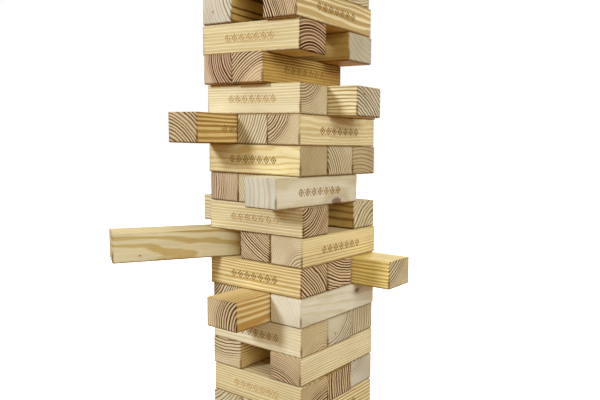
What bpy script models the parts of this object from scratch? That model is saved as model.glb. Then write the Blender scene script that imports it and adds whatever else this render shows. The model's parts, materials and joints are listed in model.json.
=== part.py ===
"""Giant tumbling tower: a stack of loose pine blocks, part-way through a game.

Metres, +Z up. The origin is the middle of the tower's foot, on the ground. Courses are numbered from the
ground. In an odd course the blocks lie along Y, side by side along X: left, middle and right. In an even
course they lie along X, side by side along Y: front, middle and back. Each block is a piece by itself, and
nothing fastens it. It slides along its own length, and the blocks that players have taken out of the lower
courses lie on top.
"""

import math
from collections import namedtuple

import bmesh
import bpy
from mathutils import Matrix, Vector

# One block.
BLOCK_WIDTH = 0.0625
BLOCK_HEIGHT = 0.0450
EDGE_EASE = 0.0022
EDGE_SEGMENTS = 2

# How blocks fit together: a course of three is as wide as one block is long.
BLOCKS_PER_COURSE = 3
SIDE_PLAY = 0.0010
COURSE_GAP = 0.0003
SLOT_PITCH = BLOCK_WIDTH + SIDE_PLAY
BLOCK_LENGTH = BLOCKS_PER_COURSE * SLOT_PITCH
COURSE_PITCH = BLOCK_HEIGHT + COURSE_GAP

# The blocks that stand well out of the tower: how far each is drawn from its place.
DRAWN_14_MIDDLE = 0.051
DRAWN_13_LEFT = 0.076
DRAWN_11_RIGHT = 0.045
DRAWN_10_MIDDLE = -0.086
DRAWN_8_BACK = 0.074
DRAWN_7_MIDDLE = 0.066

# The front block of course 16 has turned by itself, into the empty place beside it, in degrees.
TWIST_16_FRONT = 3.6

# The left block of course 9 is drawn almost out and swung round, in degrees. Its inner end still lies
# between the courses below and above: how far the near corner of that end is in from the tower's left side
# and from its front.
BAR_TURN = -29.9
BAR_CORNER_ASIDE = 0.0415
BAR_CORNER_DEEP = 0.0272

# The middle block of course 9 has moved a little across, into the place that the swung one has left.
ASIDE_9_MIDDLE = -0.0030

# Colours of fresh pine, as linear RGB.
PALE = ("pine_pale", (0.68, 0.54, 0.35))
GOLDEN = ("pine_golden", (0.62, 0.43, 0.22))
BROWN = ("pine_brown", (0.42, 0.26, 0.13))
ROUGHNESS = 0.62

# turn: degrees about Z. aside: metres across the blocks, towards +X or +Y. blocks: for each place that
# holds one, how far it is drawn along its own length, towards -Y or +X, and its colour.
Course = namedtuple("Course", "turn aside blocks")

COURSES = (
    Course(0.0, 0.000, {"left": (0.000, GOLDEN), "middle": (0.000, PALE), "right": (0.000, GOLDEN)}),
    Course(0.0, -0.001, {"front": (0.001, BROWN), "middle": (0.000, GOLDEN), "back": (0.000, PALE)}),
    Course(-0.2, 0.004, {"left": (0.000, PALE), "middle": (0.002, GOLDEN), "right": (0.004, GOLDEN)}),
    Course(-0.8, 0.000, {"front": (0.006, GOLDEN), "middle": (0.005, BROWN), "back": (0.001, PALE)}),
    Course(-0.4, 0.002, {"left": (-0.002, GOLDEN), "right": (-0.001, GOLDEN)}),
    Course(-0.7, 0.001, {"front": (0.004, GOLDEN), "middle": (0.003, PALE), "back": (0.000, BROWN)}),
    Course(-0.5, 0.003, {"left": (-0.002, BROWN), "middle": (DRAWN_7_MIDDLE, BROWN), "right": (-0.001, PALE)}),
    Course(0.5, 0.000, {"front": (0.000, GOLDEN), "middle": (0.001, BROWN), "back": (DRAWN_8_BACK, GOLDEN)}),
    Course(-0.2, 0.001, {"middle": (-0.006, BROWN), "right": (-0.004, GOLDEN)}),
    Course(1.8, 0.002, {"front": (-0.002, BROWN), "middle": (DRAWN_10_MIDDLE, GOLDEN), "back": (0.001, BROWN)}),
    Course(-0.8, -0.002, {"left": (-0.003, BROWN), "middle": (-0.003, GOLDEN), "right": (DRAWN_11_RIGHT, PALE)}),
    Course(0.1, 0.000, {"front": (-0.001, GOLDEN), "middle": (0.000, GOLDEN), "back": (0.000, BROWN)}),
    Course(0.0, -0.001, {"left": (DRAWN_13_LEFT, BROWN), "middle": (0.000, GOLDEN), "right": (0.001, PALE)}),
    Course(0.3, 0.001, {"front": (-0.003, PALE), "middle": (DRAWN_14_MIDDLE, PALE), "back": (0.000, GOLDEN)}),
    Course(0.6, -0.001, {"left": (0.008, BROWN), "middle": (0.011, GOLDEN)}),
    Course(-1.0, -0.001, {"front": (-0.006, GOLDEN), "back": (-0.009, PALE)}),
    Course(1.0, -0.007, {"left": (0.004, PALE), "right": (0.006, BROWN)}),
    Course(0.0, -0.006, {"front": (-0.010, GOLDEN), "middle": (-0.012, PALE), "back": (-0.012, GOLDEN)}),
    Course(-0.6, -0.005, {"left": (0.002, PALE), "middle": (0.000, BROWN), "right": (0.003, GOLDEN)}),
    Course(0.9, -0.003, {"middle": (-0.008, GOLDEN)}),
)
TWISTS = {"block_16_front": TWIST_16_FRONT}
ASIDES = {"block_09_middle": ASIDE_9_MIDDLE}
BAR_COURSE = 9

PLACES_ALONG_X = ("left", "middle", "right")
PLACES_ALONG_Y = ("front", "middle", "back")

Seat = namedtuple("Seat", "name centre turn colour")


def block_name(number, place):
    return f"block_{number:02d}_{place}"


def runs_along_y(number):
    """Odd courses lie along Y, even ones along X."""
    return number % 2 == 1


def outward(number, turn):
    """The way a block of this course is drawn: towards -Y in an odd course, +X in an even one."""
    way = Vector((0, -1, 0)) if runs_along_y(number) else Vector((1, 0, 0))
    return Matrix.Rotation(math.radians(turn), 3, "Z") @ way


def across(number, turn):
    """The way from one place of a course to the next: +X in an odd course, +Y in an even one."""
    way = Vector((1, 0, 0)) if runs_along_y(number) else Vector((0, 1, 0))
    return Matrix.Rotation(math.radians(turn), 3, "Z") @ way


def course_seats(number, course):
    """Where each block of one course lies."""
    places = PLACES_ALONG_X if runs_along_y(number) else PLACES_ALONG_Y
    height = (number - 1) * COURSE_PITCH + BLOCK_HEIGHT / 2
    seats = []
    for place, (drawn, colour) in course.blocks.items():
        name = block_name(number, place)
        step = places.index(place) - (len(places) - 1) / 2
        aside = step * SLOT_PITCH + course.aside + ASIDES.get(name, 0.0)
        centre = outward(number, course.turn) * drawn + across(number, course.turn) * aside
        centre.z = height
        seats.append(Seat(name, centre, course.turn + TWISTS.get(name, 0.0), colour))
    return seats


def bar_seat():
    """The swung block, placed by the near corner of its inner end."""
    corner = Vector((BAR_CORNER_ASIDE - BLOCK_LENGTH / 2, BAR_CORNER_DEEP - BLOCK_LENGTH / 2, 0))
    centre = corner + outward(BAR_COURSE, BAR_TURN) * BLOCK_LENGTH / 2
    centre -= across(BAR_COURSE, BAR_TURN) * BLOCK_WIDTH / 2
    centre.z = (BAR_COURSE - 1) * COURSE_PITCH + BLOCK_HEIGHT / 2
    return Seat(block_name(BAR_COURSE, "left"), centre, BAR_TURN, GOLDEN)


def all_seats():
    seats = []
    for number, course in enumerate(COURSES, start=1):
        seats += course_seats(number, course)
    seats.append(bar_seat())
    return seats


def is_along_y(name):
    return runs_along_y(int(name.split("_")[1]))


def block_mesh():
    """One block along X, centred on its own origin, with its edges and corners eased."""
    bm = bmesh.new()
    bmesh.ops.create_cube(bm, size=1.0)
    bmesh.ops.scale(bm, vec=(BLOCK_LENGTH, BLOCK_WIDTH, BLOCK_HEIGHT), verts=bm.verts)
    bmesh.ops.bevel(bm, geom=bm.edges[:], offset=EDGE_EASE, segments=EDGE_SEGMENTS, profile=0.5,
                    affect="EDGES", material=-1)
    mesh = bpy.data.meshes.new("block")
    bm.to_mesh(mesh)
    bm.free()
    return mesh


def pine(colour):
    """A Principled BSDF in one of the tower's three colours of pine."""
    name, rgb = colour
    material = bpy.data.materials.get(name)
    if material is None:
        material = bpy.data.materials.new(name)
        material.use_nodes = True
        shader = material.node_tree.nodes["Principled BSDF"]
        shader.inputs["Base Color"].default_value = (*rgb, 1.0)
        shader.inputs["Roughness"].default_value = ROUGHNESS
        shader.inputs["Metallic"].default_value = 0.0
    return material


def place_block(seat, mesh, tower):
    """One block as its own object, with its origin at its centre, on the line it slides along."""
    block = bpy.data.objects.new(seat.name, mesh)
    block.parent = tower
    block.location = seat.centre
    quarter = math.pi / 2 if is_along_y(seat.name) else 0.0
    block.rotation_euler = (0.0, 0.0, math.radians(seat.turn) - quarter)
    block.material_slots[0].link = "OBJECT"
    block.material_slots[0].material = pine(seat.colour)
    bpy.context.scene.collection.objects.link(block)
    return block


def clear_scene():
    for thing in list(bpy.data.objects):
        bpy.data.objects.remove(thing, do_unlink=True)


def main():
    clear_scene()
    mesh = block_mesh()
    mesh.materials.append(pine(GOLDEN))
    tower = bpy.data.objects.new("tower", None)
    bpy.context.scene.collection.objects.link(tower)
    for seat in all_seats():
        place_block(seat, mesh, tower)


main()
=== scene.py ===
"""The looks of a giant tumbling tower: fifty-four sanded pine blocks, part-way through a game.

Each block is modelled again, finer than its solid, with eased and rubbed edges and, on one long side, a
pressed and browned frieze. Its pine is a solid pattern: growth rings round the pith of the log, which the
saw cut at its own place for each block, so the lines on a side meet the arcs on an end.
"""

import json
import math
import random
from collections import namedtuple

import bmesh
import bpy
from mathutils import Matrix, Vector, noise

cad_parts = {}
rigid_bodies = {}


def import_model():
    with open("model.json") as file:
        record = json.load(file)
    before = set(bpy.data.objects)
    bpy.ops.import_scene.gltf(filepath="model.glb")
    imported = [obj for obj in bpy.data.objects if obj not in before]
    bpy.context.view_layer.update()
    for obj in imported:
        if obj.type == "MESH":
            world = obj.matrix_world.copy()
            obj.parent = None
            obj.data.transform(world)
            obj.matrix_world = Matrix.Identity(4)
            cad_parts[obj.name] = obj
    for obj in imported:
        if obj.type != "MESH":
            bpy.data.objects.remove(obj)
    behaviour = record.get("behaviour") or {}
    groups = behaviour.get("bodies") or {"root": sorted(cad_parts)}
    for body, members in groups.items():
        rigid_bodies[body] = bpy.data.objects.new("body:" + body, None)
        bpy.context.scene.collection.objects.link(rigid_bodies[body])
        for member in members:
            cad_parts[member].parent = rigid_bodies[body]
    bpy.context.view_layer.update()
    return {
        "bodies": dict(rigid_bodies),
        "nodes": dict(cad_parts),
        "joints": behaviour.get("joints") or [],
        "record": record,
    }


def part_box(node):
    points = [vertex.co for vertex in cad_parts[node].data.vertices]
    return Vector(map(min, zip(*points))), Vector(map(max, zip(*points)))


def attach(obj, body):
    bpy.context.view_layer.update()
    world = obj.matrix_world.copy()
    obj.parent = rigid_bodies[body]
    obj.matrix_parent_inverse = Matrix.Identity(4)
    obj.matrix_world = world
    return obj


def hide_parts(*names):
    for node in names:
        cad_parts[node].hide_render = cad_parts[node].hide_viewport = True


# ---------------------------------------------------------------------------------------------------------
# Sizes, in metres and degrees
# ---------------------------------------------------------------------------------------------------------

# One block, as the frame has it.
BLOCK_LENGTH = 0.1905
BLOCK_WIDTH = 0.0625
BLOCK_HEIGHT = 0.0450

# How round its edges are, and how finely it is built.
CRISP_EDGE = 0.0012
EASED_EDGE = 0.0018
SOFT_EDGE = 0.0030
CUTS_ALONG = 19
CUTS_ACROSS = 5
CUTS_UP = 4
EDGE_SEGMENTS = 4
CORNER_ANGLE = 60
SHARP_ANGLE = 50

# How its edges are worn: how deep, how far in, and how finely, with a share of wear that is finer still.
# The shift takes each block to another place in the pattern.
RUB_DEPTH = 0.0006
RUB_REACH = 2 * EASED_EDGE
RUB_SCALE = 45.0
RUB_SHIFT = (7.3, 1.9, 4.1)
FINER_RUB = 0.25
FINER = 6

# The pressed frieze: a row of lozenges, each round a smaller one, with a dot between neighbours.
LOZENGES = 7
FRIEZE_LENGTH = 0.0985
LOZENGE_HEIGHT = 0.0132
LOZENGE_WIDTH = 0.0122
GROOVE_WIDTH = 0.0016
HEART_WIDTH = 0.0042
DOT_WIDTH = 0.0022
DOT_LEVEL = LOZENGE_HEIGHT / 3
PRESS_DEPTH = 0.0009

# How closely an edge or a face must point along an axis to count, and how near is the same place.
MOSTLY = 0.9
HAIR = 1e-5

# The photograph's camera, solved from the corners of the blocks.
PHOTO_WIDTH = 600
PHOTO_HEIGHT = 400
FOCAL_PIXELS = 596.3
CENTRE_X_PIXELS = 400.9
CENTRE_Y_PIXELS = 214.0
CAMERA_PLACE = Vector((0.6647, -0.7553, 0.5518))
CAMERA_YAW = 31.15
CAMERA_PITCH = 6.83
CAMERA_ROLL = 1.41
SENSOR = 36.0
NEAREST = 0.01


# ---------------------------------------------------------------------------------------------------------
# Building node trees
# ---------------------------------------------------------------------------------------------------------

class Sketch:
    """A node tree being drawn: each call adds a node and gives back the socket it puts out."""

    def __init__(self, tree):
        self.tree = tree

    def node(self, kind, **settings):
        made = self.tree.nodes.new(kind)
        for key, value in settings.items():
            setattr(made, key, value)
        return made

    def feed(self, socket, value):
        if isinstance(value, bpy.types.NodeSocket):
            self.tree.links.new(value, socket)
        else:
            socket.default_value = value

    def sum(self, operation, *values, clamp=False):
        made = self.node("ShaderNodeMath", operation=operation, use_clamp=clamp)
        for socket, value in zip(made.inputs, values):
            self.feed(socket, value)
        return made.outputs[0]

    def vector(self, operation, *values):
        made = self.node("ShaderNodeVectorMath", operation=operation)
        for socket, value in zip(made.inputs, values):
            self.feed(socket, value)
        return made.outputs["Value" if operation == "LENGTH" else "Vector"]

    def split(self, vector):
        made = self.node("ShaderNodeSeparateXYZ")
        self.feed(made.inputs[0], vector)
        return made.outputs

    def join(self, x, y, z):
        made = self.node("ShaderNodeCombineXYZ")
        for socket, value in zip(made.inputs, (x, y, z)):
            self.feed(socket, value)
        return made.outputs[0]

    def noise(self, vector, scale, detail=2.0, roughness=0.5):
        made = self.node("ShaderNodeTexNoise")
        self.feed(made.inputs["Vector"], vector)
        self.feed(made.inputs["Scale"], scale)
        self.feed(made.inputs["Detail"], detail)
        self.feed(made.inputs["Roughness"], roughness)
        return made.outputs["Fac"]

    def swing(self, vector, scale):
        """Noise about zero, from -0.5 to 0.5."""
        return self.sum("SUBTRACT", self.noise(vector, scale), 0.5)

    def speck(self, value):
        """A chance number from 0 to 1 that belongs to this value."""
        made = self.node("ShaderNodeTexWhiteNoise", noise_dimensions="1D")
        self.feed(made.inputs["W"], value)
        return made.outputs["Value"]

    def spread(self, value, low, high, to_low=0.0, to_high=1.0, smooth=True):
        """The value, taken from one range to another and held at its ends."""
        kind = "SMOOTHSTEP" if smooth else "LINEAR"
        made = self.node("ShaderNodeMapRange", interpolation_type=kind)
        for socket, number in zip(made.inputs, (value, low, high, to_low, to_high)):
            self.feed(socket, number)
        return made.outputs[0]

    def mix(self, factor, first, second, blend="MIX"):
        made = self.node("ShaderNodeMix", data_type="RGBA", blend_type=blend)
        self.feed(made.inputs["Factor"], factor)
        self.feed(made.inputs[6], first)
        self.feed(made.inputs[7], second)
        return made.outputs[2]

    def times(self, colour, by):
        return self.mix(1.0, colour, by, "MULTIPLY")

    def dimmed(self, colour, light):
        """The colour with all its channels times one number."""
        return self.times(colour, self.join(light, light, light))

    def group(self, tree, **values):
        made = self.node("ShaderNodeGroup", node_tree=tree)
        for key, value in values.items():
            self.feed(made.inputs[key.replace("_", " ").title()], value)
        return made.outputs


def new_group(name, inputs, outputs):
    """An empty shader node group with named sockets, and the Sketch that draws inside it."""
    tree = bpy.data.node_groups.new(name, "ShaderNodeTree")
    kinds = {"value": "NodeSocketFloat", "vector": "NodeSocketVector", "colour": "NodeSocketColor"}
    for label, kind in inputs:
        tree.interface.new_socket(label, in_out="INPUT", socket_type=kinds[kind])
    for label, kind in outputs:
        tree.interface.new_socket(label, in_out="OUTPUT", socket_type=kinds[kind])
    sketch = Sketch(tree)
    taken = sketch.node("NodeGroupInput").outputs
    given = sketch.node("NodeGroupOutput").inputs
    return tree, sketch, taken, given


def srgb(red, green, blue):
    """A colour as it looks on a screen, 0 to 255, as linear RGBA."""
    channels = []
    for level in (red, green, blue):
        part = level / 255
        channels.append(part / 12.92 if part <= 0.04045 else ((part + 0.055) / 1.055) ** 2.4)
    return (*channels, 1.0)


# ---------------------------------------------------------------------------------------------------------
# Pine: groups that several materials share
# ---------------------------------------------------------------------------------------------------------

# A pattern is drawn out along the block by shortening its X to these shares.
RING_DRAWN = (0.28, 1.0, 1.0)
KNOT_DRAWN = (0.62, 1.0, 1.0)
BROAD_DRAWN = (0.05, 1.0, 1.0)
FINE_DRAWN = (0.02, 1.0, 1.0)
RESIN_DRAWN = (0.06, 1.0, 1.0)
PATCH_DRAWN = (0.4, 1.0, 1.0)

# How fine each pattern is: about how many of its patches lie in a metre.
BEND_SCALE = 26.0
RIPPLE_SCALE = 150.0
YEAR_SCALE = 55.0
KNOT_SCALE = 240.0
BROAD_SCALE = 260.0
FINE_SCALE = 1100.0
RESIN_SCALE = 900.0
EDGE_SCALE = 180.0
PORE_SCALE = 2600.0
PATCH_SCALE = 22.0
SHEEN_SCALE = 300.0
CHAR_SCALE = 420.0

# The rings bend across and up by the same pattern, read this far apart, and ripple by a share of the wave.
BENDS_APART = (3.1, 1.7, 5.3)
RIPPLE = 0.10

# The years differ in width and in how dark they turn. Beyond the bold ones they lie closer by this share.
YEAR_UNEVEN = 1.5
FAINTEST_YEAR = 0.75
OUTER_CLOSER = 0.35

# Within one year, from 0 to 1: where the late wood starts and is full, in shares of late wood from the
# year's end, and where it begins to break off.
LATE_START = -1.2
LATE_FULL = -0.85
LATE_END = 0.92

# A knot, measured in its own size: how ragged it is, from where to where its heart, its bark and its push
# on the rings grow, how dark the bark is, and how hard the push.
KNOT_RAGGED = 0.55
HEART_REACH = (1.1, 0.55)
BARK_REACH = (2.4, 0.8)
BARK_DARK = 0.34
PUSH_REACH = (3.2, 0.4)
PUSH = 0.45

# How the fibre is made up, and how rare its resin is.
BROAD_SHARE = 0.6
FINE_SHARE = 0.4
RESIN_RARE = (0.70, 0.78)

# Masks, in metres from a block's outside: the end grain, the rubbed edges and how ragged they are (they
# carry wear and painted shade), and the underside, which carries painted shade.
END_FADE = (0.0018, 0.0006)
EDGE_FADE = (0.0022, 0.0)
EDGE_RAGGED = 0.0022
UNDER_FADE = (0.0010, 0.0002)

# The powers with which red and blue darken, on the sides and on the ends.
SIDE_FADING = (1.15, 0.8)
END_FADING = (1.35, 0.9)

# How light the streaks and the pores leave the wood, and how much resin, knots, the darkened edges (wear,
# and painted shade in the seams) and the painted shade along the lower edges show.
STREAK_LIGHT = (0.86, 1.10)
PORE_LIGHT = (0.88, 1.09)
RESIN_SHOWS = 0.35
KNOT_SHOWS = 0.85
RUB_AND_SHADE_SHOWS = 0.5
SEAM_SHADE_SHOWS = 0.8

# How rough the wood is, and how high its rings, fibre and pores stand against each other.
SIDE_ROUGHNESS = (0.56, 0.72)
END_ROUGHER = 0.12
RING_HEIGHT = 0.5
FIBRE_HEIGHT = 0.5
PORE_HEIGHT = 0.5


def growth_rings():
    """How dark the wood of the year's ring is at a point: 0 in spring wood, up to 1 in late wood.

    Place is in the block's own frame, metres, X along the block. Pith is where the middle of the log
    passes the block's middle, and Lean how it drifts across the block for each metre along it. The lines
    are bold up to Bold radius from the pith, and from there to the Faint radius they fade. Beyond Bold
    they also lie closer, unless Faint is the nearer of the two.
    """
    tree, s, taken, given = new_group(
        "growth rings",
        [("Place", "vector"), ("Pith", "vector"), ("Lean", "vector"), ("Ring Gap", "value"),
         ("Share", "value"), ("Wave", "value"), ("Bold", "value"), ("Faint", "value"),
         ("Faintness", "value"), ("Bulge", "value"), ("Seed", "value")],
        [("Late", "value")])
    x, y, z = s.split(taken["Place"])
    shifted = s.vector("ADD", taken["Place"], s.join(taken["Seed"], taken["Seed"], taken["Seed"]))
    drawn = s.vector("MULTIPLY", shifted, RING_DRAWN)
    bend_y = s.swing(drawn, BEND_SCALE)
    bend_z = s.swing(s.vector("ADD", drawn, BENDS_APART), BEND_SCALE)
    pith = s.split(taken["Pith"])
    lean = s.split(taken["Lean"])
    across = s.sum("SUBTRACT", s.sum("SUBTRACT", y, pith[1]), s.sum("MULTIPLY", lean[1], x))
    up = s.sum("SUBTRACT", s.sum("SUBTRACT", z, pith[2]), s.sum("MULTIPLY", lean[2], x))
    across = s.sum("MULTIPLY_ADD", bend_y, taken["Wave"], across)
    up = s.sum("MULTIPLY_ADD", bend_z, taken["Wave"], up)
    radius = s.vector("LENGTH", s.join(0.0, across, up))
    ripple = s.sum("MULTIPLY", taken["Wave"], RIPPLE)
    radius = s.sum("MULTIPLY_ADD", s.swing(drawn, RIPPLE_SCALE), ripple, radius)
    radius = s.sum("ADD", radius, taken["Bulge"])
    uneven = s.noise(s.join(radius, taken["Seed"], 0.0), YEAR_SCALE, 1.0)
    outer = s.sum("MAXIMUM", s.sum("SUBTRACT", radius, taken["Bold"]), 0.0)
    closer = s.sum("MULTIPLY", s.sum("GREATER_THAN", taken["Faint"], taken["Bold"]), OUTER_CLOSER)
    outer = s.sum("MULTIPLY", outer, closer)
    years = s.sum("DIVIDE", s.sum("ADD", radius, outer), taken["Ring Gap"])
    ring = s.sum("MULTIPLY_ADD", uneven, YEAR_UNEVEN, years)
    within = s.sum("FRACT", ring)
    start = s.sum("MULTIPLY_ADD", taken["Share"], LATE_START, 1.0)
    full = s.sum("MULTIPLY_ADD", taken["Share"], LATE_FULL, 1.0)
    late = s.sum("MULTIPLY", s.spread(within, start, full), s.spread(within, 1.0, LATE_END))
    chance = s.speck(s.sum("ADD", s.sum("FLOOR", ring), taken["Seed"]))
    strength = s.spread(chance, 0.0, 1.0, FAINTEST_YEAR, 1.0)
    bold = s.spread(radius, taken["Bold"], taken["Faint"], 1.0, taken["Faintness"])
    s.feed(given["Late"], s.sum("MULTIPLY", s.sum("MULTIPLY", late, strength), bold))
    return tree


def knot():
    """A branch cut across: its dark middle, and how far it pushes the growth rings aside around it."""
    tree, s, taken, given = new_group(
        "knot", [("Place", "vector"), ("Knot", "vector"), ("Size", "value")],
        [("Heart", "value"), ("Bulge", "value")])
    away = s.vector("MULTIPLY", s.vector("SUBTRACT", taken["Place"], taken["Knot"]), KNOT_DRAWN)
    ragged = s.sum("MULTIPLY", s.swing(taken["Place"], KNOT_SCALE), KNOT_RAGGED)
    sizes = s.sum("ADD", s.sum("DIVIDE", s.vector("LENGTH", away), taken["Size"]), ragged)
    bark = s.sum("MULTIPLY", s.spread(sizes, *BARK_REACH), BARK_DARK)
    s.feed(given["Heart"], s.sum("MAXIMUM", s.spread(sizes, *HEART_REACH), bark))
    push = s.sum("MULTIPLY", taken["Size"], PUSH)
    s.feed(given["Bulge"], s.sum("MULTIPLY", s.spread(sizes, *PUSH_REACH), push))
    return tree


def wood_fibre():
    """Long fine streaks along the block, and short dark resin dashes among them."""
    tree, s, taken, given = new_group(
        "wood fibre", [("Place", "vector"), ("Seed", "value")],
        [("Streak", "value"), ("Resin", "value")])
    moved = s.vector("ADD", taken["Place"], s.join(taken["Seed"], taken["Seed"], 0.0))
    broad = s.noise(s.vector("MULTIPLY", moved, BROAD_DRAWN), BROAD_SCALE, 3.0, 0.6)
    fine = s.noise(s.vector("MULTIPLY", moved, FINE_DRAWN), FINE_SCALE)
    dashes = s.noise(s.vector("MULTIPLY", moved, RESIN_DRAWN), RESIN_SCALE, 0.0)
    broad = s.sum("MULTIPLY", broad, BROAD_SHARE)
    s.feed(given["Streak"], s.sum("ADD", broad, s.sum("MULTIPLY", fine, FINE_SHARE)))
    s.feed(given["Resin"], s.spread(dashes, *RESIN_RARE))
    return tree


def block_edges():
    """Masks that follow a block's shape: its ends, eased edges, and lower edges and underside for painted
    shade.
    """
    tree, s, taken, given = new_group(
        "block edges", [("Place", "vector")],
        [("End", "value"), ("Edge", "value"), ("Foot", "value"), ("Under", "value")])
    x, y, z = s.split(taken["Place"])
    to_end = s.sum("SUBTRACT", BLOCK_LENGTH / 2, s.sum("ABSOLUTE", x))
    to_side = s.sum("SUBTRACT", BLOCK_WIDTH / 2, s.sum("ABSOLUTE", y))
    to_top = s.sum("SUBTRACT", BLOCK_HEIGHT / 2, s.sum("ABSOLUTE", z))
    nearest = s.sum("MINIMUM", s.sum("MINIMUM", to_end, to_side), to_top)
    farthest = s.sum("MAXIMUM", s.sum("MAXIMUM", to_end, to_side), to_top)
    total = s.sum("ADD", s.sum("ADD", to_end, to_side), to_top)
    second = s.sum("SUBTRACT", s.sum("SUBTRACT", total, nearest), farthest)
    ragged = s.sum("MULTIPLY", s.noise(taken["Place"], EDGE_SCALE, 3.0), EDGE_RAGGED)
    edge = s.spread(s.sum("SUBTRACT", second, ragged), *EDGE_FADE)
    under = (inwards - BLOCK_HEIGHT / 2 for inwards in UNDER_FADE)
    s.feed(given["End"], s.spread(to_end, *END_FADE))
    s.feed(given["Edge"], edge)
    s.feed(given["Foot"], s.sum("MULTIPLY", edge, s.spread(z, 0.0, -BLOCK_HEIGHT / 4)))
    s.feed(given["Under"], s.spread(z, *under))
    return tree


def darkened(s, early, late, amount, red, blue):
    """Wood that darkens as wood does: it loses its blue first, and its red last."""
    steps = s.join(s.sum("POWER", amount, red), amount, s.sum("POWER", amount, blue))
    return s.vector("MULTIPLY_ADD", s.vector("SUBTRACT", late, early), steps, early)


def sanded_pine(rings, knots, fibre, edges):
    """The whole finish of a bare block: its colour, roughness and the height of its grain."""
    tree, s, taken, given = new_group(
        "sanded pine",
        [("Place", "vector"), ("Pith", "vector"), ("Lean", "vector"), ("Ring Gap", "value"),
         ("Share", "value"), ("Wave", "value"), ("Bold", "value"), ("Faint", "value"),
         ("Faintness", "value"), ("Knot", "vector"), ("Knot Size", "value"), ("Seed", "value"),
         ("Contrast", "value"), ("Early", "colour"), ("Late", "colour"), ("End Early", "colour"),
         ("End Late", "colour")],
        [("Colour", "colour"), ("Roughness", "value"), ("Height", "value")])
    place, seed = taken["Place"], taken["Seed"]
    branch = s.group(knots, place=place, knot=taken["Knot"], size=taken["Knot Size"])
    ring = s.group(rings, place=place, pith=taken["Pith"], lean=taken["Lean"],
                   ring_gap=taken["Ring Gap"], share=taken["Share"], wave=taken["Wave"],
                   bold=taken["Bold"], faint=taken["Faint"], faintness=taken["Faintness"],
                   bulge=branch["Bulge"], seed=seed)
    grain = s.group(fibre, place=place, seed=seed)
    mask = s.group(edges, place=place)
    late = s.sum("MULTIPLY", ring["Late"], taken["Contrast"], clamp=True)

    side = darkened(s, taken["Early"], taken["Late"], late, *SIDE_FADING)
    side = s.dimmed(side, s.spread(grain["Streak"], 0.25, 0.75, *STREAK_LIGHT, smooth=False))
    side = s.mix(s.sum("MULTIPLY", grain["Resin"], RESIN_SHOWS), side, taken["Late"])
    end = darkened(s, taken["End Early"], taken["End Late"], late, *END_FADING)
    pores = s.noise(place, PORE_SCALE, 2.0, 0.7)
    pores = s.spread(pores, 0.30, 0.70, *PORE_LIGHT, smooth=False)
    end = s.dimmed(end, pores)

    moved = s.vector("ADD", place, s.join(seed, 0.0, seed))
    patch = s.noise(s.vector("MULTIPLY", moved, PATCH_DRAWN), PATCH_SCALE, 3.0)
    patch = s.mix(s.spread(patch, 0.3, 0.7), PATCH_DARK, PATCH_LIGHT)
    colour = s.times(s.mix(mask["End"], side, end), patch)
    colour = s.mix(s.sum("MULTIPLY", branch["Heart"], KNOT_SHOWS), colour, KNOT_BROWN)
    # Painted shade: the underside is darkened and warmed.
    colour = s.mix(mask["Under"], colour, s.times(colour, UNDERSIDE_SHADE))
    # Darkened eased edges: partly wear, partly painted shade in the seams between blocks.
    colour = s.mix(s.sum("MULTIPLY", mask["Edge"], RUB_AND_SHADE_SHOWS), colour, s.times(colour, RUBBED_AND_SHADED))
    # Painted shade along the lower edges, as a dark line where the courses meet.
    colour = s.mix(s.sum("MULTIPLY", mask["Foot"], SEAM_SHADE_SHOWS), colour, s.times(colour, SEAM_SHADE))
    s.feed(given["Colour"], colour)

    rough = s.spread(s.noise(moved, SHEEN_SCALE, 3.0), 0.3, 0.7, *SIDE_ROUGHNESS, smooth=False)
    s.feed(given["Roughness"], s.sum("MULTIPLY_ADD", mask["End"], END_ROUGHER, rough))
    fibres = s.sum("MULTIPLY", grain["Streak"], FIBRE_HEIGHT)
    height = s.sum("MULTIPLY_ADD", late, RING_HEIGHT, fibres)
    holes = s.sum("MULTIPLY", s.sum("MULTIPLY", pores, mask["End"]), PORE_HEIGHT)
    s.feed(given["Height"], s.sum("ADD", height, holes))
    return tree


# ---------------------------------------------------------------------------------------------------------
# How each block was cut and how it has aged
# ---------------------------------------------------------------------------------------------------------

# Wood tones: the year's early wood and its late wood. First those of the sides (PALE does for an end as
# well), then those of the ends.
Tone = namedtuple("Tone", "early late")
MILK = Tone(srgb(231, 223, 194), srgb(206, 188, 136))
CREAM = Tone(srgb(231, 224, 194), srgb(182, 158, 100))
BUTTER = Tone(srgb(227, 213, 166), srgb(190, 160, 98))
STRAW = Tone(srgb(230, 218, 178), srgb(162, 132, 74))
HAY = Tone(srgb(242, 226, 156), srgb(196, 160, 78))
AMBER = Tone(srgb(221, 202, 152), srgb(182, 142, 78))
GOLDEN = Tone(srgb(211, 185, 124), srgb(138, 100, 42))
# HONEY is the darkest side tone. On 17_left, 16_back, 15_middle and 10_back it is partly painted shade,
# darkening sides that lie deep in the gaps.
HONEY = Tone(srgb(194, 163, 94), srgb(110, 78, 30))
PALE = Tone(srgb(219, 214, 194), srgb(166, 150, 106))
SALLOW = Tone(srgb(216, 206, 170), srgb(178, 148, 78))

BISCUIT = Tone(srgb(210, 203, 170), srgb(90, 50, 12))
TAN = Tone(srgb(214, 204, 168), srgb(90, 46, 8))
FAWN = Tone(srgb(206, 192, 154), srgb(78, 38, 6))
BOLD = Tone(srgb(222, 206, 168), srgb(68, 26, 0))
ROSY = Tone(srgb(202, 184, 154), srgb(84, 30, 8))
OLIVE = Tone(srgb(188, 174, 136), srgb(92, 62, 22))
ASH = Tone(srgb(208, 202, 178), srgb(82, 56, 24))
GREY = Tone(srgb(204, 202, 186), srgb(124, 106, 74))
DRIFT = Tone(srgb(190, 186, 166), srgb(118, 100, 70))
DUNE = Tone(srgb(208, 196, 164), srgb(138, 112, 72))

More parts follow.
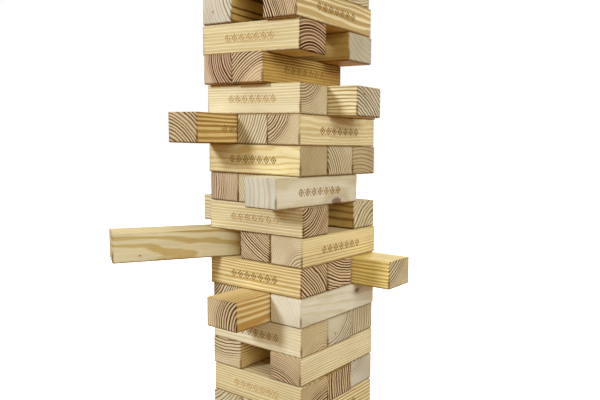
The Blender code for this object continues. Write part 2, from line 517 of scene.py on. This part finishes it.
PATCH_DARK = (0.90, 0.88, 0.84, 1.0)
PATCH_LIGHT = (1.04, 1.05, 1.06, 1.0)
# Darkening of the eased edges: partly handling wear, partly painted shade in the seams between blocks.
RUBBED_AND_SHADED = (0.74, 0.64, 0.52, 1.0)
# Painted shade along the lower edges, where each block sits on the course below.
SEAM_SHADE = (0.42, 0.32, 0.22, 1.0)
# Painted shade on the underside: it is made darker and warmer.
UNDERSIDE_SHADE = (1.0, 0.78, 0.52, 1.0)
KNOT_BROWN = srgb(112, 66, 40)

# How the hot die has browned the frieze: barely, or deeply.
TOASTED = (srgb(196, 164, 100), srgb(216, 190, 136))
SCORCHED = (srgb(136, 98, 34), srgb(178, 140, 68))

# pith: the way to the middle of the log, seen on the end nearest the camera, in degrees up from the
# right, and its distance in metres. gap: the width of a year's ring, and share: how much of it is late
# wood. contrast: how dark the lines turn. wave: how far they swing. lean: how the pith drifts, across and
# up. fade: the distances from the pith where the lines are bold and where they have faded, down to
# faintness. knot: where a branch was cut, along, across and up, and its size. edge: how round the edges
# are. mark: which long side has the frieze, and press: how far the die browned it.
Cut = namedtuple("Cut", "side end pith gap share contrast wave lean fade faintness knot edge mark press")
NO_FADE = (1.0, 2.0)
NO_KNOT = (0.0, 0.0, 0.5, 0.001)


def cut(side, end, angle, distance, gap=0.0035, contrast=1.0, wave=0.006, share=0.36, lean=(0.0, 0.0),
        fade=NO_FADE, faintness=0.3, knot=NO_KNOT, edge=EASED_EDGE, mark=1, press="toasted"):
    way = math.radians(angle)
    pith = (0.0, distance * math.cos(way), distance * math.sin(way))
    return Cut(side, end, pith, gap, share, contrast, wave, (0.0, *lean), fade, faintness, knot, edge,
               mark, press)


SEEN = {
    "block_18_back": cut(STRAW, BISCUIT, 100, 0.110, 0.0045, 0.7, mark=-1),
    "block_17_right": cut(STRAW, BOLD, 203, 0.110, 0.0040, 1.15, share=0.62, fade=(0.100, 0.125),
                          faintness=0.7, press="scorched"),
    "block_17_left": cut(HONEY, GREY, 20, 0.090, 0.0085, 1.0, fade=(0.06, 0.1),
                         knot=(BLOCK_LENGTH / 2, -0.008, -0.004, 0.0016), edge=SOFT_EDGE, mark=-1),
    "block_16_front": cut(MILK, BOLD, 268, 0.062, 0.0046, wave=0.002, share=0.78, edge=CRISP_EDGE,
                          mark=-1),
    "block_16_back": cut(HONEY, DRIFT, 60, 0.090, 0.0080, 0.3, edge=SOFT_EDGE),
    "block_15_left": cut(GOLDEN, ROSY, 22, 0.058, 0.0046, share=0.6, fade=(0.070, 0.086),
                         faintness=0.05, mark=-1),
    "block_15_middle": cut(HONEY, BOLD, -56, 0.110, 0.0042, share=0.62, fade=(0.108, 0.098),
                           faintness=0.55, press="scorched"),
    "block_14_front": cut(MILK, BISCUIT, 124, 0.054, 0.0044, 0.85, share=0.6, fade=(0.045, 0.058),
                          faintness=0.45, edge=CRISP_EDGE, mark=-1),
    "block_14_middle": cut(STRAW, ASH, 236, 0.110, 0.0052, wave=0.010, share=0.42,
                           knot=(BLOCK_LENGTH / 2, -0.0135, 0.011, 0.0016)),
    "block_13_left": cut(GOLDEN, FAWN, 240, 0.095, 0.0050, 0.9, share=0.55, press="scorched"),
    "block_13_middle": cut(STRAW, BISCUIT, 152, 0.140, 0.0048, 0.85, share=0.42, mark=-1),
    "block_13_right": cut(STRAW, TAN, 140, 0.068, 0.0041, wave=0.010, share=0.62, fade=(0.066, 0.078),
                          faintness=0.4, press="scorched"),
    "block_12_front": cut(BUTTER, OLIVE, 25, 0.085, 0.0029, 0.6, 0.010, lean=(0.008, 0.0), mark=-1,
                          press="scorched"),
    "block_12_middle": cut(GOLDEN, BISCUIT, 203, 0.120, 0.0050, 0.9, share=0.45, fade=(0.124, 0.150),
                           faintness=0.5),
    "block_12_back": cut(CREAM, OLIVE, 265, 0.100, 0.0055, 0.7),
    "block_11_left": cut(STRAW, ROSY, 178, 0.150, 0.0050, 1.1, 0.014, fade=(0.142, 0.168),
                         faintness=0.4, mark=-1),
    "block_11_middle": cut(STRAW, BISCUIT, 30, 0.120, 0.0040, 0.6, mark=-1),
    "block_11_right": cut(PALE, GREY, 183, 0.090, 0.0100, 0.35, wave=0.006, share=0.3,
                          knot=(-0.040, BLOCK_WIDTH / 2, -0.0195, 0.0094), edge=SOFT_EDGE,
                          press="scorched"),
    "block_10_front": cut(MILK, BOLD, 135, 0.060, 0.0044, share=0.66, fade=(0.074, 0.104),
                          faintness=0.5, mark=-1),
    "block_10_middle": cut(CREAM, TAN, 80, 0.090, 0.0045),
    "block_10_back": cut(HONEY, BISCUIT, 310, 0.080, 0.0070, 0.9, 0.014),
    "block_09_left": cut(SALLOW, TAN, 200, 0.062, 0.0050, 0.85, 0.009, share=0.44, lean=(0.030, 0.0),
                         knot=(0.057, BLOCK_WIDTH / 2, -0.0125, 0.0010), mark=-1),
    "block_09_middle": cut(AMBER, BOLD, 56, 0.140, 0.0036, share=0.6, mark=-1),
    "block_09_right": cut(BUTTER, DUNE, 315, 0.055, 0.0044, fade=(0.040, 0.055), faintness=0.5,
                          press="scorched"),
    "block_08_front": cut(BUTTER, BOLD, 222, 0.105, 0.0044, share=0.58, mark=-1, press="scorched"),
    "block_08_middle": cut(STRAW, BOLD, 74, 0.120, 0.0044, share=0.58),
    "block_08_back": cut(HAY, BISCUIT, 128, 0.110, 0.0052, share=0.48, fade=(0.105, 0.120),
                         faintness=0.5),
    "block_07_left": cut(STRAW, TAN, 140, 0.090, 0.0046, share=0.5, mark=-1),
    "block_07_middle": cut(AMBER, FAWN, -18, 0.060, 0.0048, 1.1, share=0.55, fade=(0.062, 0.080),
                           faintness=0.4, mark=-1),
    "block_07_right": cut(PALE, PALE, 215, 0.080, 0.0060, 0.25, 0.008, lean=(0.05, 0.03),
                          knot=(-0.046, BLOCK_WIDTH / 2, 0.0100, 0.0050), edge=SOFT_EDGE, mark=-1),
    "block_06_front": cut(CREAM, FAWN, 285, 0.060, 0.0052, 0.6, fade=(0.045, 0.060), faintness=0.6,
                          mark=-1, press="scorched"),
    "block_06_middle": cut(STRAW, ASH, 130, 0.050, 0.0050, fade=(0.056, 0.044), faintness=0.1,
                           knot=(BLOCK_LENGTH / 2, -0.0125, -0.004, 0.0016)),
    "block_06_back": cut(STRAW, BISCUIT, 5, 0.150, 0.0052, 0.9),
    "block_05_left": cut(GOLDEN, TAN, 92, 0.170, 0.0052, share=0.42, fade=(0.170, 0.184),
                         faintness=0.4),
    "block_05_right": cut(CREAM, FAWN, 250, 0.090, 0.0042, share=0.6, fade=(0.082, 0.100),
                          faintness=0.6, edge=SOFT_EDGE, mark=-1),
    "block_04_front": cut(SALLOW, FAWN, 292, 0.090, 0.0048, share=0.55, fade=(0.085, 0.110),
                          faintness=0.6, mark=-1),
    "block_04_middle": cut(GOLDEN, BOLD, 2, 0.140, 0.0052, wave=0.010, share=0.62),
    "block_04_back": cut(STRAW, GREY, 125, 0.080, 0.0052, fade=(0.062, 0.080), faintness=0.4),
    "block_03_left": cut(STRAW, BISCUIT, 130, 0.120, 0.0055, 0.85, mark=-1),
    "block_03_right": cut(STRAW, TAN, 250, 0.110, 0.0050, 0.9, share=0.5, press="scorched"),
}
SIDE_TONES = (CREAM, STRAW, STRAW, AMBER, GOLDEN, HONEY, PALE)
END_TONES = (BISCUIT, TAN, FAWN, BOLD, ROSY, OLIVE, ASH)

# What a hidden block's cut is drawn from, and where the drawing starts.
PITHS_AWAY = (0.045, 0.140)
RING_GAPS = (0.003, 0.006)
CONTRASTS = (0.6, 1.0)
WAVES = (0.004, 0.010)
SHARES = (0.3, 0.5)
CHANCE = 54


def any_cut(chance):
    """A cut for a block that the photograph hides."""
    return cut(chance.choice(SIDE_TONES), chance.choice(END_TONES), chance.uniform(0, 360),
               chance.uniform(*PITHS_AWAY), chance.uniform(*RING_GAPS), chance.uniform(*CONTRASTS),
               chance.uniform(*WAVES), chance.uniform(*SHARES), mark=chance.choice((-1, 1)))


# ---------------------------------------------------------------------------------------------------------
# Where each block lies: read from the frame
# ---------------------------------------------------------------------------------------------------------

Lie = namedtuple("Lie", "centre turn")


def lie_of(name, node):
    """A node's centre, and its turn about Z: from lying along +X, seen from above.

    The spread of its corners about the centre gives the line it lies on, and a block points the way it is
    drawn: towards -Y in an odd course, and towards +X in an even one.
    """
    low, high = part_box(name)
    centre = (Vector(low) + Vector(high)) / 2
    offsets = [vertex.co - centre for vertex in node.data.vertices]
    spread_x = sum(offset.x ** 2 for offset in offsets)
    spread_y = sum(offset.y ** 2 for offset in offsets)
    shared = sum(offset.x * offset.y for offset in offsets)
    turn = 0.5 * math.atan2(2 * shared, spread_x - spread_y)
    odd = int(name.split("_")[1]) % 2 == 1
    backwards = math.sin(turn) > 0 if odd else math.cos(turn) < 0
    return Lie(centre, turn + math.pi if backwards else turn)


# ---------------------------------------------------------------------------------------------------------
# Block meshes
# ---------------------------------------------------------------------------------------------------------

def along_axis(edge, axis):
    way = edge.verts[1].co - edge.verts[0].co
    return abs(way[axis]) > MOSTLY * way.length


def plain_block(edge):
    """A block along X round the origin: a finely cut box, bevelled along its twelve edges."""
    bm = bmesh.new()
    bmesh.ops.create_cube(bm, size=1.0)
    bmesh.ops.scale(bm, vec=(BLOCK_LENGTH, BLOCK_WIDTH, BLOCK_HEIGHT), verts=bm.verts)
    for axis, cuts in enumerate((CUTS_ALONG, CUTS_ACROSS, CUTS_UP)):
        edges = [e for e in bm.edges if along_axis(e, axis)]
        bmesh.ops.subdivide_edges(bm, edges=edges, cuts=cuts, use_grid_fill=True)
    corners = [e for e in bm.edges if e.calc_face_angle(0.0) > math.radians(CORNER_ANGLE)]
    bmesh.ops.bevel(bm, geom=corners, offset=edge, segments=EDGE_SEGMENTS, profile=0.5,
                    affect="EDGES", material=-1)
    return bm


def lozenge(bm, x, width, height, depth):
    """A prism over a lozenge, lying in the XZ plane round (x, 0, 0)."""
    made = bmesh.ops.create_circle(bm, cap_ends=True, segments=4, radius=0.5)
    verts = made["verts"]
    bmesh.ops.rotate(bm, verts=verts, matrix=Matrix.Rotation(math.pi / 2, 3, "X"))
    bmesh.ops.scale(bm, verts=verts, vec=(width, 1.0, height))
    bmesh.ops.translate(bm, verts=verts, vec=(x, -depth, 0))
    faces = list({face for vertex in verts for face in vertex.link_faces})
    grown = bmesh.ops.extrude_face_region(bm, geom=faces)
    top = [item for item in grown["geom"] if isinstance(item, bmesh.types.BMVert)]
    bmesh.ops.translate(bm, verts=top, vec=(0, 2 * depth, 0))


def frieze_cutter(side):
    """All that the die presses into one long side: lozenge outlines, their hearts and the dots."""
    bm = bmesh.new()
    pitch = (FRIEZE_LENGTH - LOZENGE_WIDTH) / (LOZENGES - 1)
    heart_height = HEART_WIDTH * LOZENGE_HEIGHT / LOZENGE_WIDTH
    for index in range(LOZENGES):
        x = (index - (LOZENGES - 1) / 2) * pitch
        ring = bmesh.new()
        lozenge(ring, x, LOZENGE_WIDTH, LOZENGE_HEIGHT, PRESS_DEPTH)
        open_ring(ring, x)
        copy_into(bm, ring)
        lozenge(bm, x, HEART_WIDTH, heart_height, PRESS_DEPTH)
        if index < LOZENGES - 1:
            dot(bm, x + pitch / 2, -DOT_LEVEL)
            dot(bm, x + pitch / 2, DOT_LEVEL)
    bmesh.ops.recalc_face_normals(bm, faces=bm.faces)
    bmesh.ops.translate(bm, verts=bm.verts, vec=(0, side * BLOCK_WIDTH / 2, 0))
    return bm


def open_ring(bm, x):
    """Opens a lozenge prism: its caps are inset by the groove's width and bridged through."""
    caps = [face for face in bm.faces if abs(face.normal.y) > MOSTLY]
    for cap in caps:
        bmesh.ops.inset_individual(bm, faces=[cap], thickness=GROOVE_WIDTH, use_even_offset=True)
    inner = [face for face in bm.faces if abs(face.normal.y) > MOSTLY and centred(face, x)]
    rims = list({edge for face in inner for edge in face.edges})
    bmesh.ops.delete(bm, geom=inner, context="FACES_ONLY")
    bmesh.ops.bridge_loops(bm, edges=rims)


def centred(face, x):
    middle = face.calc_center_median()
    return abs(middle.x - x) < HAIR and abs(middle.z) < HAIR


def dot(bm, x, z):
    """A small round prick."""
    made = bmesh.ops.create_cone(bm, cap_ends=True, segments=8, radius1=DOT_WIDTH / 2,
                                 radius2=DOT_WIDTH / 2, depth=2 * PRESS_DEPTH)
    bmesh.ops.rotate(bm, verts=made["verts"], matrix=Matrix.Rotation(math.pi / 2, 3, "X"))
    bmesh.ops.translate(bm, verts=made["verts"], vec=(x, 0, z))


def copy_into(target, source):
    mesh = bpy.data.meshes.new("part of the die")
    source.to_mesh(mesh)
    source.free()
    target.from_mesh(mesh)
    bpy.data.meshes.remove(mesh)


def mesh_from(bm, name):
    mesh = bpy.data.meshes.new(name)
    bm.to_mesh(mesh)
    bm.free()
    return mesh


def pressed_block(edge, side):
    """A block mesh with the frieze pressed into the long side at -Y or +Y. Its grooves use slot 1."""
    body = bpy.data.objects.new("blank", mesh_from(plain_block(edge), "blank"))
    die = bpy.data.objects.new("die", mesh_from(frieze_cutter(side), "die"))
    body.data.materials.append(bpy.data.materials.new("bare wood"))
    die.data.materials.append(bpy.data.materials.new("pressed wood"))
    for thing in (body, die):
        bpy.context.scene.collection.objects.link(thing)
    press = body.modifiers.new("press", "BOOLEAN")
    press.operation = "DIFFERENCE"
    press.solver = "EXACT"
    press.material_mode = "TRANSFER"
    press.object = die
    bpy.context.view_layer.update()
    graph = bpy.context.evaluated_depsgraph_get()
    mesh = bpy.data.meshes.new_from_object(body.evaluated_get(graph))
    for thing in (body, die):
        bpy.data.objects.remove(thing, do_unlink=True)
    return mesh


def rub_edges(bm, seed):
    """Wears the eased edges unevenly: a point near two faces moves a little towards the middle."""
    half = Vector((BLOCK_LENGTH / 2, BLOCK_WIDTH / 2, BLOCK_HEIGHT / 2))
    shift = Vector([seed * step for step in RUB_SHIFT])
    for vertex in bm.verts:
        room = [half[i] - abs(vertex.co[i]) for i in range(3)]
        second = sorted(room)[1]
        if second > RUB_REACH:
            continue
        worn = max(0.0, noise.noise(vertex.co * RUB_SCALE + shift)) ** 2
        worn += FINER_RUB * max(0.0, noise.noise(vertex.co * RUB_SCALE * FINER + shift))
        inwards = Vector([-math.copysign(1.0, vertex.co[i]) if room[i] < RUB_REACH else 0.0
                          for i in range(3)])
        vertex.co += inwards.normalized() * worn * RUB_DEPTH * (1 - second / RUB_REACH)


def finish_mesh(mesh):
    """Smooth rounded edges beside flat faces."""
    mesh.shade_smooth()
    mesh.set_sharp_from_angle(angle=math.radians(SHARP_ANGLE))


# ---------------------------------------------------------------------------------------------------------
# Materials
# ---------------------------------------------------------------------------------------------------------

# Bare wood hardly shines. Its grain, and the char in the frieze, stand out a little.
SPECULAR = 0.12
GRAIN_BUMP = 0.35
GRAIN_DEPTH = 0.0004
CHAR_BUMP = 0.3
CHAR_DEPTH = 0.0002
CHAR_ROUGHNESS = (0.6, 0.8)


def bump(s, height, strength, depth):
    made = s.node("ShaderNodeBump")
    made.inputs["Strength"].default_value = strength
    made.inputs["Distance"].default_value = depth
    s.feed(made.inputs["Height"], height)
    return made.outputs[0]


def block_material(name, lie, how, seed, pine):
    """One block's own pine: the shared finish, in the block's frame and with its own values."""
    material = bpy.data.materials.new(f"pine_of_{name}")
    material.use_nodes = True
    s = Sketch(material.node_tree)
    place = s.node("ShaderNodeTexCoord").outputs["Object"]
    frame = s.node("ShaderNodeMapping", vector_type="TEXTURE")
    s.feed(frame.inputs["Vector"], place)
    frame.inputs["Location"].default_value = lie.centre
    frame.inputs["Rotation"].default_value = (0.0, 0.0, lie.turn)
    finish = s.group(pine, place=frame.outputs[0], pith=how.pith, lean=how.lean, ring_gap=how.gap,
                     share=how.share, wave=how.wave, bold=how.fade[0], faint=how.fade[1],
                     faintness=how.faintness, knot=how.knot[:3], knot_size=how.knot[3], seed=seed,
                     contrast=how.contrast, early=how.side.early, late=how.side.late,
                     end_early=how.end.early, end_late=how.end.late)
    shader = material.node_tree.nodes["Principled BSDF"]
    shader.inputs["Specular IOR Level"].default_value = SPECULAR
    s.feed(shader.inputs["Base Color"], finish["Colour"])
    s.feed(shader.inputs["Roughness"], finish["Roughness"])
    s.feed(shader.inputs["Normal"], bump(s, finish["Height"], GRAIN_BUMP, GRAIN_DEPTH))
    return material


def browned_pine(name, dark, light):
    """The grooves of the frieze, browned by the hot die."""
    material = bpy.data.materials.new(name)
    material.use_nodes = True
    s = Sketch(material.node_tree)
    char = s.noise(s.node("ShaderNodeTexCoord").outputs["Object"], CHAR_SCALE, 3.0, 0.6)
    shader = material.node_tree.nodes["Principled BSDF"]
    s.feed(shader.inputs["Base Color"], s.mix(s.spread(char, 0.35, 0.65), dark, light))
    s.feed(shader.inputs["Roughness"], s.spread(char, 0.3, 0.7, *CHAR_ROUGHNESS))
    s.feed(shader.inputs["Normal"], bump(s, char, CHAR_BUMP, CHAR_DEPTH))
    return material


# ---------------------------------------------------------------------------------------------------------
# The tower
# ---------------------------------------------------------------------------------------------------------

# How far apart the blocks' own places in the patterns are.
SEED_STEP = 0.37


def build_block(name, node, body, how, seed, blanks, browned, pine):
    """One block in its place, from the blank for its edges and frieze, with its own wear and pine."""
    lie = lie_of(name, node)
    key = (how.edge, how.mark)
    if key not in blanks:
        blanks[key] = pressed_block(how.edge, how.mark)
    bm = bmesh.new()
    bm.from_mesh(blanks[key])
    rub_edges(bm, seed)
    bmesh.ops.rotate(bm, verts=bm.verts, matrix=Matrix.Rotation(lie.turn, 3, "Z"))
    bmesh.ops.translate(bm, verts=bm.verts, vec=lie.centre)
    mesh = mesh_from(bm, f"{name}_pine")
    mesh.materials.append(block_material(name, lie, how, seed, pine))
    mesh.materials.append(browned[how.press])
    finish_mesh(mesh)
    block = bpy.data.objects.new(f"{name}_pine", mesh)
    bpy.context.scene.collection.objects.link(block)
    flat = block.modifiers.new("flat faces", "WEIGHTED_NORMAL")
    flat.keep_sharp = True
    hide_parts(name)
    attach(block, body)


def build_tower(frame):
    pine = sanded_pine(growth_rings(), knot(), wood_fibre(), block_edges())
    browned = {"toasted": browned_pine("toasted_pine", *TOASTED),
               "scorched": browned_pine("scorched_pine", *SCORCHED)}
    moving = frame["record"]["behaviour"]["bodies"]
    bodies = {node: body for body, nodes in moving.items() for node in nodes}
    chance = random.Random(CHANCE)
    blanks = {}
    for index, name in enumerate(sorted(frame["nodes"])):
        hidden = any_cut(chance)
        how = SEEN.get(name, hidden)
        build_block(name, frame["nodes"][name], bodies[name], how, index * SEED_STEP,
                    blanks, browned, pine)


# ---------------------------------------------------------------------------------------------------------
# Floor, light and camera
# ---------------------------------------------------------------------------------------------------------

# The camera sees a white floor and world. The tower itself is lit by a browner floor and a warm, dimmer
# world, as if other wood stood near.
WHITE = (1.0, 1.0, 1.0, 1.0)
FLOOR_RADIUS = 9.0
FLOOR_DROP = 0.0005
FLOOR_SEEN = srgb(235, 235, 235)
FLOOR_THROWN = srgb(120, 84, 40)
FLOOR_ROUGHNESS = 0.9
FLOOR_GLOW = 0.78
WORLD_THROWN = (1.0, 0.73, 0.26, 1.0)
WORLD_STRENGTH = 0.50

Panel = namedtuple("Panel", "name place size power colour")
PANELS = (
    Panel("key", (-3.2, -6.9, 4.1), 1.8, 515.0, (0.91, 1.0, 1.14)),
    Panel("fill", (7.2, -2.3, 3.4), 6.5, 490.0, (0.92, 1.0, 1.10)),
    Panel("back", (-2.4, 6.8, 3.9), 3.2, 370.0, (0.92, 1.0, 1.10)),
)
TOWER_MIDDLE = Vector((0.0, 0.0, 0.5))


def camera_axes():
    """The camera's right, up and back ways, from its yaw, pitch and roll."""
    yaw, pitch, roll = (math.radians(angle) for angle in (CAMERA_YAW, CAMERA_PITCH, CAMERA_ROLL))
    back = Vector((math.sin(yaw) * math.cos(pitch), -math.cos(yaw) * math.cos(pitch), math.sin(pitch)))
    level = Vector((math.cos(yaw), math.sin(yaw), 0.0))
    upright = back.cross(level)
    right = math.cos(roll) * level + math.sin(roll) * upright
    up = math.cos(roll) * upright - math.sin(roll) * level
    return right, up, back


def place_camera():
    data = bpy.data.cameras.new("camera")
    data.sensor_width = SENSOR
    data.lens = FOCAL_PIXELS / PHOTO_WIDTH * SENSOR
    data.shift_x = (PHOTO_WIDTH / 2 - CENTRE_X_PIXELS) / PHOTO_WIDTH
    data.shift_y = (CENTRE_Y_PIXELS - PHOTO_HEIGHT / 2) / PHOTO_WIDTH
    data.clip_start = NEAREST
    camera = bpy.data.objects.new("camera", data)
    bpy.context.scene.collection.objects.link(camera)
    turned = Matrix(camera_axes()).transposed().to_4x4()
    camera.matrix_world = Matrix.Translation(CAMERA_PLACE) @ turned
    bpy.context.scene.camera = camera


def seen_rays(s):
    """1 where a ray comes from the camera, straight or by gloss or glass, and 0 for the light's own."""
    path = s.node("ShaderNodeLightPath")
    seen = s.sum("MAXIMUM", path.outputs["Is Camera Ray"], path.outputs["Is Glossy Ray"])
    return s.sum("MAXIMUM", seen, path.outputs["Is Transmission Ray"])


def floor_material():
    """A pale floor that the camera sees as white, keeping the tower's shadow."""
    material = bpy.data.materials.new("floor")
    material.use_nodes = True
    nodes = material.node_tree.nodes
    s = Sketch(material.node_tree)
    seen = seen_rays(s)
    shader = nodes["Principled BSDF"]
    s.feed(shader.inputs["Base Color"], s.mix(seen, FLOOR_THROWN, FLOOR_SEEN))
    shader.inputs["Roughness"].default_value = FLOOR_ROUGHNESS
    shader.inputs["Specular IOR Level"].default_value = 0.0
    glow = s.node("ShaderNodeEmission")
    glow.inputs["Color"].default_value = WHITE
    s.feed(glow.inputs["Strength"], s.sum("MULTIPLY", seen, FLOOR_GLOW))
    both = s.node("ShaderNodeAddShader")
    s.feed(both.inputs[0], shader.outputs[0])
    s.feed(both.inputs[1], glow.outputs[0])
    s.feed(nodes["Material Output"].inputs["Surface"], both.outputs[0])
    return material


def lay_floor():
    bm = bmesh.new()
    bmesh.ops.create_circle(bm, cap_ends=True, segments=64, radius=FLOOR_RADIUS)
    floor = bpy.data.objects.new("floor", mesh_from(bm, "floor"))
    floor.data.materials.append(floor_material())
    floor.location.z = -FLOOR_DROP
    bpy.context.scene.collection.objects.link(floor)


def light_world():
    world = bpy.data.worlds.new("studio")
    world.use_nodes = True
    bpy.context.scene.world = world
    s = Sketch(world.node_tree)
    background = world.node_tree.nodes["Background"]
    seen = seen_rays(s)
    s.feed(background.inputs["Color"], s.mix(seen, WORLD_THROWN, WHITE))
    s.feed(background.inputs["Strength"], s.spread(seen, 0.0, 1.0, WORLD_STRENGTH, 1.0, smooth=False))


def light_tower():
    for panel in PANELS:
        data = bpy.data.lights.new(panel.name, "AREA")
        data.shape = "DISK"
        data.size = panel.size
        data.energy = panel.power
        data.color = panel.colour
        lamp = bpy.data.objects.new(panel.name, data)
        lamp.location = panel.place
        way = Vector(panel.place) - TOWER_MIDDLE
        lamp.rotation_euler = way.to_track_quat("Z", "Y").to_euler()
        bpy.context.scene.collection.objects.link(lamp)


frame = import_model()
place_camera()
build_tower(frame)
lay_floor()
light_world()
light_tower()
bpy.context.scene.view_settings.view_transform = "Standard"
